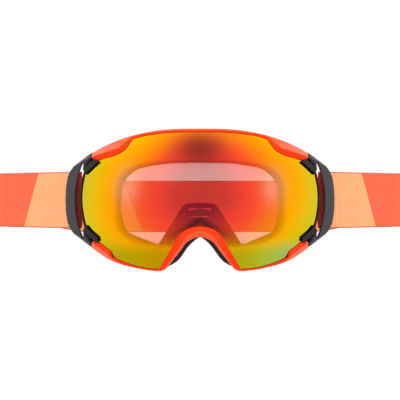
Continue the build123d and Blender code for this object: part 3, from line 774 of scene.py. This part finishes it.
def build_frame_moulding():
    rays = Rays(LENS_MIDDLE_Z, [FRAME_EDGE, RIDGE, LENS_EDGE], 200)
    lens, ridge, outer = rays.reach(LENS_EDGE), rays.reach(RIDGE), rays.reach(FRAME_EDGE)
    wall = np.minimum(rays.reach(WALL_INSIDE), outer - THINNEST_WALL)
    seat = rays.reach(INNER_LENS_EDGE) + SEAT_MARGIN
    # how far the ridge stands out in front of the rim: most on the four wings and the nose arch
    upper_wing = [(90, 0.15), (33, 0.2), (28.5, 1.3), (22.2, 2.3), (12.8, 2.3), (12.0, 0.2)]
    side_rim = [(0, 0.1), (-28.6, 0.1)]
    lower_wing = [(-29.4, 1.2), (-38, 1.6), (-43, 0.5), (-47, 0.2)]
    nose_arch = [(-66, 0.3), (-70, 1.0), (-80, 1.5), (-90, 1.5)]
    raised = rays.over(upper_wing + side_rim + lower_wing + nose_arch)
    ridge = np.clip(ridge, lens + 0.5, outer - 0.45)
    corner = np.minimum(0.35, (outer - ridge) * 0.4)
    rings = [
        rays.ring(lens + LENS_GAP, ball(SEAT_FRONT)),
        rays.ring(lens + LENS_GAP, ball(LENS_RADIUS + 0.05)),
        rays.ring(lens + 0.2, ball(LENS_RADIUS + 0.4)),
        rays.ring(ridge - 0.15, ball(RIM_RADIUS + 0.92 * raised)),
        rays.ring(ridge + 0.15, ball(RIM_RADIUS + 0.95 * raised)),
        rays.ring(outer - corner, ball(RIM_RADIUS)),
        rays.ring(outer - 0.1, ball(RIM_RADIUS - 0.35)),
        rays.ring(outer, ball(RIM_RADIUS - 1.0)),
        rays.ring(outer, drum(FLANGE_RADIUS + 0.4)),
        rays.ring(outer - 0.3, drum(FLANGE_RADIUS + 0.02)),
        rays.ring(wall + 0.2, drum(FLANGE_RADIUS + 0.02)),
        rays.ring(wall, drum(FLANGE_RADIUS + 0.4)),
        rays.ring(wall, ball(SEAT_BACK)),
        rays.ring(np.minimum(seat, wall - 0.3), ball(SEAT_BACK)),
        rays.ring(np.minimum(seat, wall - 0.3), ball(SEAT_FRONT)),
    ]
    shape = loft(rings, closed=True)
    moulding = piece("frame_moulding", shape, ORANGE, "frame", sharp=22)
    # the facets that slope down to the lens are a deeper orange, painted shade for facets that face in
    # and down, the narrow side rims are maroon, painted shade for the shadow they lie in beside the
    # outriggers, and the inside of the wall is painted black
    for look in (ORANGE_PAINTED_SHADE, SIDE_RIM_PAINTED_SHADE, INSIDE_BLACK):
        moulding.data.materials.append(look)
    for polygon in moulding.data.polygons:
        band = polygon.index // len(lens)
        if band >= FIRST_INSIDE_BAND:
            polygon.material_index = 3
        elif band <= LAST_FRONT_BAND and abs(polygon.center.x) > SIDE_RIM_X * MM:
            polygon.material_index = 2
        elif band <= LAST_FACET_BAND:
            polygon.material_index = 1
    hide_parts("frame_shell")
    cutter = piece("vent_cutter", vent_cutter(), ORANGE)
    cut = moulding.modifiers.new("vents", "BOOLEAN")
    cut.operation = "DIFFERENCE"
    cut.solver = "EXACT"
    cut.object = cutter
    apply_modifiers(moulding)
    bpy.data.objects.remove(cutter)


def apply_modifiers(obj):
    """Makes the modified mesh the object's own."""
    evaluated = obj.evaluated_get(bpy.context.evaluated_depsgraph_get())
    mesh = bpy.data.meshes.new_from_object(evaluated)
    obj.modifiers.clear()
    obj.data = mesh


# ---- CAD nodes that keep their shape ---------------------------------
def finish_cad_nodes():
    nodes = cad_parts
    for name, node in nodes.items():
        if name.startswith("hinge_mount"):
            paint(node, CLAW_CHARCOAL)
            add_bevel(node, 0.3)
        if name.startswith("slider"):
            paint(node, CHARCOAL)
            add_bevel(node, 0.25)
    paint(nodes["face_frame"], CHARCOAL)
    paint(nodes["hinge_pins"], STEEL)


# ---- foam ------------------------------------------------------------
FOAM_MIDDLE_Z = 18.0
CORNER_CUT = 0.35
OPENING_MARGIN = 1.0


def foam_layer(rays, inner, outer, front, back, side_bulge, corner):
    """A ring of foam between two outlines and two drums, with rounded corners and bulging sides."""
    depth = front - back
    cut = CORNER_CUT * corner
    sides = []
    for share in (0.0, 0.25, 0.5, 0.75, 1.0):
        bulge = side_bulge * sin(pi * share) - (cut if share in (0.0, 1.0) else 0)
        sides.append((bulge, 0.5 + (share - 0.5) * (1 - 2 * cut / depth)))
    rings = [rays.ring(inner - bulge, drum(front - share * depth)) for bulge, share in sides]
    run = outer - inner - 2 * corner
    for share in (0.0, 0.06, 0.2, 0.4, 0.6, 0.8, 0.94, 1.0):
        rings.append(rays.ring(inner + corner + share * run, drum(back)))
    rings += [rays.ring(outer + bulge, drum(front - share * depth)) for bulge, share in reversed(sides)]
    for share in (1.0, 0.66, 0.33, 0.0):
        rings.append(rays.ring(inner + corner + share * run, drum(front)))
    return loft(rings, closed=True)


def build_foam():
    rays = Rays(FOAM_MIDDLE_Z, [FOAM_OPENING, FOAM_EDGE], 170)
    inner, outer = rays.reach(FOAM_OPENING) + OPENING_MARGIN, rays.reach(FOAM_EDGE)
    for name, look, slot, node, front, back, extra in (
        ("foam_block", FACE_FOAM, "face_foam", "foam_base", BASE_FRONT, SOFT_FRONT, 0.0),
        ("foam_cushion", FACE_FOAM, "face_foam", "foam_soft", SOFT_FRONT, FLEECE_FRONT, 0.1),
        ("foam_facing", FLEECE, "fleece", "foam_fleece", FLEECE_FRONT, FLEECE_BACK, 0.2),
    ):
        depth = front - back
        corner = min(1.2, 0.3 * depth)
        bulge = 0.45 if depth > 2 else 0.2
        shape = foam_layer(rays, inner - extra, outer + extra, front, back, bulge, corner)
        obj = piece(name, roughen(shape, 0.22, 7.0), look, sharp=60)
        smoothing = obj.modifiers.new("smooth", "SUBSURF")
        smoothing.levels = smoothing.render_levels = 1
        apply_modifiers(obj)
        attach(obj, "frame")
        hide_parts(node)
    for node in ("vent_filter_brow", "vent_filter_cheek_left", "vent_filter_cheek_right"):
        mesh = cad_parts[node].data.copy()
        obj = bpy.data.objects.new(node.replace("vent_filter", "filter_foam"), mesh)
        bpy.context.scene.collection.objects.link(obj)
        remesh = obj.modifiers.new("remesh", "REMESH")
        remesh.mode = "VOXEL"
        remesh.voxel_size = 0.7 * MM
        apply_modifiers(obj)
        for vertex in obj.data.vertices:
            vertex.co += 0.12 * MM * noise.noise_vector(vertex.co / (2.5 * MM))
        obj.data.shade_smooth()
        paint(obj, VENT_FOAM)
        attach(obj, "frame")
        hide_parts(node)


# ---- outriggers ------------------------------------------------------
# the right arm from the front, as x, z points from its hinge to the middle of its front bar
ARM_START_X = (75.1, 75.6, 76.5, 78.0)
ARM_OUTSIDE = [(x, 32.9 - 0.7154 * (x - 75.0)) for x in ARM_START_X]
ARM_OUTSIDE += [(80.9, 28.7), (84.6, 26.0), (88.0, 23.5), (90.5, 20.1)]
ARM_OUTSIDE += [(92.3, 16.0), (93.5, 8.5), (93.8, 0)]
ARM_RIDGE = [(x, 29.7 - 0.414 * (x - 75.0)) for x in ARM_START_X]
ARM_RIDGE += [(80.9, 27.3), (84.2, 25.2), (87.3, 23.4), (90.0, 19.9)]
ARM_RIDGE += [(91.8, 15.9), (93.0, 8.5), (93.3, 0)]
ARM_INSIDE = [(x, KNUCKLE_BOTTOM + 0.05) for x in ARM_START_X]
ARM_INSIDE += [(80.9, 26.92), (81.8, 25.0), (83.1, 22.3), (84.0, 19.2)]
ARM_INSIDE += [(84.9, 15.4), (86.2, 8.0), (86.7, 0)]
# the knuckle's barrel shows only at its lower end, where it comes out of the arm
BARREL_TOP = 28.4
# the backing plates as x, z points, and the y of their two faces
BACKING_OUTLINE = [(71.8, 26.4), (71.8, 30.6), (75.6, 29.8), (78.6, 25.2), (78.8, 23.0)]
BACKING_Y = (-2.4, -1.4)
# the webs that carry the strap bar, as x, y points
WEB_OUTLINE = [(85.2, -1), (88.6, -1), (89.4, 6), (89.4, 8), (88, 9), (85.6, 7.4)]


def arm_front(x):
    """The y of the outrigger's front face at x."""
    return np.interp(x, (*ARM_START_X, 92.0, 94.4), (-6.8, -7.8, -8.6, -9.0, -4.6, -3.4))


def arm_back(x):
    """The y of the outrigger's back face at x."""
    return np.interp(x, (*ARM_START_X, 88.0, 94.4), (-5.2, -4.2, -3.4, -3.0, 2.6, 2.4))


def outrigger_shape():
    """The right outrigger."""
    top = [np.array(line, float) for line in (ARM_OUTSIDE, ARM_RIDGE, ARM_INSIDE)]
    outside, ridge, inside = [np.vstack([line, (line * (1, -1))[-2::-1]]) for line in top]
    # the top and bottom arms slope back from the ridge; the upright bar only has a narrow bevel there
    slope = np.interp(np.abs(outside[:, 1]), (15.0, 24.0), (0.8, 2.6))
    corners = []
    for line, lift in (
        (outside - (0.25, 0), arm_back(outside[:, 0]) - 0.1),
        (outside, arm_back(outside[:, 0]) - 0.5),
        (outside, np.minimum(arm_front(outside[:, 0]) + slope, arm_back(outside[:, 0]) - 0.6)),
        (ridge + (0.12, 0), arm_front(ridge[:, 0]) + 0.06),
        (ridge - (0.12, 0), arm_front(ridge[:, 0])),
        (inside + (0.5, 0), arm_front(inside[:, 0]) + 0.1),
        (inside, arm_front(inside[:, 0]) + 0.6),
        (inside, arm_back(inside[:, 0]) - 0.4),
        (inside + (0.3, 0), arm_back(inside[:, 0])),
    ):
        corners.append(np.stack([line[:, 0], lift, line[:, 1]], axis=1))
    stations = np.stack(corners, axis=1)
    arm = loft(list(stations), caps=True)
    parts = [arm, tube(STRAP_BAR, -WEB_MIDDLE, WEB_MIDDLE, STRAP_BAR_RADIUS)]
    for up in (-1, 1):
        low, high = sorted((up * KNUCKLE_BOTTOM, up * BARREL_TOP))
        parts.append(tube(PIVOT, low, high, KNUCKLE_RADIUS, PIN_BORE, 0.4, 48))
        middle = up * WEB_MIDDLE
        parts.append(prism(WEB_OUTLINE, middle - WEB_HALF_HEIGHT, middle + WEB_HALF_HEIGHT))
    return gather(*parts)


def hinge_backings():
    """Small plates on the right side of the frame that close the view behind the two knuckles."""
    plates = []
    for up in (-1, 1):
        rings = [np.array([(x, y, up * z) for x, z in BACKING_OUTLINE]) for y in BACKING_Y]
        plates.append(loft(rings, caps=True))
    return gather(*plates)


def build_outriggers():
    for side, made in both_sides(hinge_backings()):
        piece(f"hinge_backing_{side}", made, CLAW_CHARCOAL, "frame", sharp=28)
    for side, made in both_sides(outrigger_shape()):
        obj = piece(f"outrigger_arm_{side}", made, CHARCOAL, f"outrigger_{side}", sharp=28)
        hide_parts(f"outrigger_{side}")


# ---- strap -----------------------------------------------------------
def straight(a, b, step=2.0):
    """Points from a to b, b left out."""
    a, b = np.array(a, float), np.array(b, float)
    count = max(1, int(np.linalg.norm(b - a) / step))
    return a + (b - a) * np.linspace(0, 1, count, endpoint=False)[:, None]


def arc(centre, radius, start, end, step=3.0):
    """Points round a centre from a start angle to an end angle in degrees, the end left out."""
    count = max(4, int(abs(end - start) / step))
    turn = np.radians(np.linspace(start, end, count, endpoint=False))
    return np.array(centre) + radius * np.stack([np.cos(turn), np.sin(turn)], axis=1)


def ribbon(path, u, drop, thickness):
    """A band on edge along a path of x, y points: its shape and its UVs in centimetres."""
    tangent = np.gradient(path, axis=0)
    tangent /= np.linalg.norm(tangent, axis=1)[:, None]
    normal = np.stack([tangent[:, 1], -tangent[:, 0]], axis=1)
    rows = list(np.linspace(-STRAP_FLAT, STRAP_FLAT, 15))
    section = [(z, 0.5) for z in rows]
    section += [(STRAP_CORNER, 0.28), (STRAP_HALF_WIDTH, 0.0), (STRAP_CORNER, -0.28)]
    section += [(z, -0.5) for z in reversed(rows)]
    section += [(-STRAP_CORNER, -0.28), (-STRAP_HALF_WIDTH, 0.0), (-STRAP_CORNER, 0.28)]
    rings, uvs = [], []
    for k, (point, out) in enumerate(zip(path, normal)):
        wave = 0.12 * noise.noise(Vector((0.05 * u[k], 3.0, thickness[k])))
        for z, share in section:
            ripple = 0.06 * noise.noise(Vector((0.12 * u[k], 0.2 * z, 7.0)))
            x, y = point + out * (share * thickness[k] + ripple)
            rings.append((x, y, z - drop[k] + wave * abs(z) / STRAP_HALF_WIDTH))
            uvs.append((u[k] / 10, (z + STRAP_HALF_WIDTH) / 10))
    n = len(section)
    rings = np.array(rings).reshape(len(path), n, 3)
    return loft(list(rings), caps=True), uvs


def lengths(path, zero_at):
    """How far along the path each point is, counted from one of its points."""
    run = np.concatenate([[0], np.cumsum(np.linalg.norm(np.diff(path, axis=0), axis=1))])
    return run - run[zero_at]


END_LENGTH, LOOP_RADIUS, FOLD_HALF = 16.0, 3.5, 0.72


def side_path(rear_y):
    """From the sewn tail, round the strap bar, out along the side and round the bend."""
    along = np.array((cos(STRAP_HEADING), sin(STRAP_HEADING)))
    outward = np.array((along[1], -along[0]))
    bar = np.array(STRAP_BAR)
    lean = asin((LOOP_RADIUS - FOLD_HALF) / END_LENGTH)
    over = sin(lean) * along + cos(lean) * outward
    under = sin(lean) * along - cos(lean) * outward
    start = degrees(atan2(under[1], under[0]))
    sweep = 360 - 2 * (90 - degrees(lean))
    sewn = bar + END_LENGTH * along
    joined = bar + (END_LENGTH + 8) * along
    tail = straight(sewn + FOLD_HALF * under, bar + LOOP_RADIUS * under)
    loop = arc(bar, LOOP_RADIUS, start, start + sweep, 12.0)
    runs = [
        tail,
        loop,
        straight(bar + LOOP_RADIUS * over, sewn + FOLD_HALF * over),
        straight(sewn + FOLD_HALF * over, joined),
        straight(joined, BEND_START),
    ]
    bend_radius = (rear_y - BEND_START[1]) / (1 + cos(STRAP_HEADING))
    centre = np.array(BEND_START) - bend_radius * outward
    turned = degrees(STRAP_HEADING)
    runs.append(arc(centre, bend_radius, turned - 90, 90, 4.0))
    runs.append([centre + (0, bend_radius)])
    return np.vstack(runs), len(tail) + len(loop)


def sag(x):
    """How far the rear run has dropped at x: it drops just past the bend and is level from there on."""
    share = np.clip((SAG_START_X - np.asarray(x)) / (SAG_START_X - SAG_END_X), 0, 1)
    return REAR_DROP * share * share * (3 - 2 * share)


def rear_path(rear_y, start_x, in_front):
    """Along behind the head to the other side's slider, and folded round its bar.

    The bar of the band in the front layer lies on the head's side of it.
    """
    bar = np.array((-SLIDER_BAR_X, rear_y + SLIDER_BAR_OFFSET))
    radius = SLIDER_BAR_ROOM + TAB_LAYER / 2
    lean = asin((radius - TAB_LAYER / 2) / (SLIDER_BAR_X - TAB_START_X))
    near = np.array((sin(lean), -cos(lean)))
    far = np.array((sin(lean), cos(lean)))
    tab = np.array((-TAB_START_X, bar[1]))
    near_tab, far_tab = tab + near * TAB_LAYER / 2, tab + far * TAB_LAYER / 2
    turning = (-TAB_START_X + 5, rear_y)
    path = np.vstack([
        straight((start_x, rear_y), turning, 2.5),
        straight(turning, near_tab),
        straight(near_tab, bar + near * radius),
        arc(bar, radius, degrees(lean) - 90, degrees(-lean) - 270, 15.0),
        straight(bar + far * radius, far_tab),
        [far_tab],
    ])
    if in_front:
        path[:, 1] = 2 * rear_y - path[:, 1]
    return path


STITCH_REACH, STITCH_PITCH, STITCH_LENGTH, THREAD_RADIUS = 17.5, 2.6, 1.9, 0.22
# along the stitch, how thick it is there, and how far it stands out
STITCH_PROFILE = (
    (-0.5, 0.35, -0.12), (-0.3, 0.9, 0.05), (0.0, 1.0, 0.1), (0.3, 0.9, 0.05), (0.5, 0.35, -0.12)
)


def stitch_row(spot, out):
    """An upright row of stitches on a surface that faces out: short threads with sunk ends."""
    up, out = np.array((0.0, 0.0, 1.0)), np.array(out, float)
    aside = np.cross(up, out)
    turn = np.linspace(0, 2 * pi, 8, endpoint=False)[:, None]
    count = int(2 * STITCH_REACH / STITCH_PITCH)
    made = []
    for k in range(count):
        middle = np.array(spot) + up * STITCH_REACH * ((2 * k + 1) / count - 1)
        rings = []
        for share, size, lift in STITCH_PROFILE:
            point = middle + up * share * STITCH_LENGTH + out * lift
            rings.append(point + THREAD_RADIUS * size * (np.cos(turn) * aside + np.sin(turn) * out))
        made.append(loft(rings, caps=True))
    return made


# ends of the stretches where the side run would bend as the outrigger swings, measured from the strap
# bar, and where the rear run would stretch as the slider moves; they are handed back with each band and
# not used
SIDE_BLEND = (17.5, 61.0)
REAR_BLEND_X = 28.0


def strap_band(name, shape_and_uvs, ends, flip):
    """One band of the strap and the two ends of a stretch along it, mirrored for the left."""
    shape, uvs = shape_and_uvs
    if flip:
        shape = mirrored(shape)
        ends = [Vector((-end.x, end.y, end.z)) for end in ends]
    return piece(name, shape, WEBBING, uv=uvs), *ends


def build_strap():
    """Each band is drawn as the right one, and the left one is mirrored."""
    for side, rear_y, other in (
        ("right", REAR_BACK_LAYER_Y, "left"),
        ("left", REAR_FRONT_LAYER_Y, "right"),
    ):
        flip = side == "left"
        path, bar_index = side_path(rear_y)
        u = lengths(path, bar_index)
        thickness = np.full(len(path), STRAP_THICKNESS)
        along = Vector((cos(STRAP_HEADING), sin(STRAP_HEADING), 0))
        ends = [Vector((*STRAP_BAR, 0)) + reach * along for reach in SIDE_BLEND]
        shape = ribbon(path, u, 0 * u, thickness)
        obj, start, end = strap_band(f"strap_side_{side}", shape, ends, flip)
        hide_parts(f"strap_end_{side}")
        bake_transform(obj)

        path = rear_path(rear_y, path[-1][0], flip)
        thickness = np.full(len(path), STRAP_THICKNESS)
        fold = np.arange(len(path)) > np.argmax(path[:, 0] < -TAB_START_X + 3)
        thickness[fold] = TAB_LAYER
        shape = ribbon(path, lengths(path, 0) + u[-1], sag(path[:, 0]), thickness)
        ends = [Vector((x, rear_y, -REAR_DROP)) for x in (REAR_BLEND_X, -TAB_START_X)]
        obj, start, end = strap_band(f"strap_rear_{side}", shape, ends, flip)
        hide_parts(f"strap_{side}", f"strap_tab_{other}")
        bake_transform(obj)


# where the rows of stitches are: how far from the strap bar on the sewn ends, and at which x on the tabs
END_STITCHES = (8.6, 14.2)
TAB_STITCHES = (52.2, 56.6)


def build_stitches():
    along = Vector((cos(STRAP_HEADING), sin(STRAP_HEADING), 0))
    outward = Vector((along.y, -along.x, 0))
    bar = Vector((*STRAP_BAR, 0))
    rows = []
    for reach in END_STITCHES:
        lift = STRAP_THICKNESS / 2 + LOOP_RADIUS + (FOLD_HALF - LOOP_RADIUS) * reach / END_LENGTH
        for face in (1, -1):
            spot = bar + along * reach + outward * face * lift
            rows += stitch_row(spot, outward * face)
    for side, made in both_sides(gather(*rows)):
        piece(f"strap_end_stitches_{side}", made, PEACH_THREAD, f"outrigger_{side}")

    for side, rear_y, turn in (("left", REAR_BACK_LAYER_Y, 1), ("right", REAR_FRONT_LAYER_Y, -1)):
        rows = []
        middle_y = rear_y + turn * SLIDER_BAR_OFFSET
        for reach in TAB_STITCHES:
            for face in (1, -1):
                lift = TAB_LAYER + 0.02 + 0.55 * (reach - TAB_START_X) / (SLIDER_BAR_X - TAB_START_X)
                spot = Vector((-turn * reach, middle_y + face * lift, -REAR_DROP))
                rows += stitch_row(spot, (0, face, 0))
        piece(f"strap_tab_stitches_{side}", gather(*rows), CORAL_THREAD, f"slider_{side}")


GRIP_START_X, GRIP_END_X = 90.0, 130.0
GRIP_SPACING, GRIP_HALF_WIDTH = 11.0, 2.4
GRIP_WAVE, GRIP_WAVE_LENGTH = 0.5, 12.0
# across the strip as a share of its half width, and how far it stands out
GRIP_SECTION = (
    (-1.0, 0.0), (-0.8, -0.42), (-0.4, -0.6), (0.0, -0.64), (0.4, -0.6), (0.8, -0.42), (1.0, 0.0)
)


def build_grips():
    """Silicone strips on the strap's inner face: low waved ridges with rounded ends."""
    x = np.linspace(GRIP_START_X, GRIP_END_X, 41)
    grip_middle = (GRIP_START_X + GRIP_END_X) / 2
    grip_half = (GRIP_END_X - GRIP_START_X) / 2 + 0.2
    half = GRIP_HALF_WIDTH * np.sqrt(np.clip(1 - ((x - grip_middle) / grip_half) ** 16, 0.05, 1))
    wave = GRIP_WAVE * np.sin((x - GRIP_START_X) * 2 * pi / GRIP_WAVE_LENGTH)
    for side, rear_y, sign in (("right", REAR_BACK_LAYER_Y, 1), ("left", REAR_FRONT_LAYER_Y, -1)):
        rows = []
        face_y = rear_y - STRAP_THICKNESS / 2 + 0.05
        for row in (-1, 0, 1):
            middle = row * GRIP_SPACING - sag(x) + wave
            rings = [
                np.stack([sign * x, np.full(len(x), face_y + y), middle + half * z], axis=1)
                for z, y in GRIP_SECTION
            ]
            rows.append(loft(list(np.stack(rings, axis=1)), caps=True))
        obj = piece(f"grip_strips_{side}", gather(*rows), SILICONE, "frame", sharp=50)
        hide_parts(f"strap_grip_{side}")


build_studio()
build_lens_pack()
build_frame_moulding()
finish_cad_nodes()
build_foam()
build_outriggers()
build_strap()
build_stitches()
build_grips()
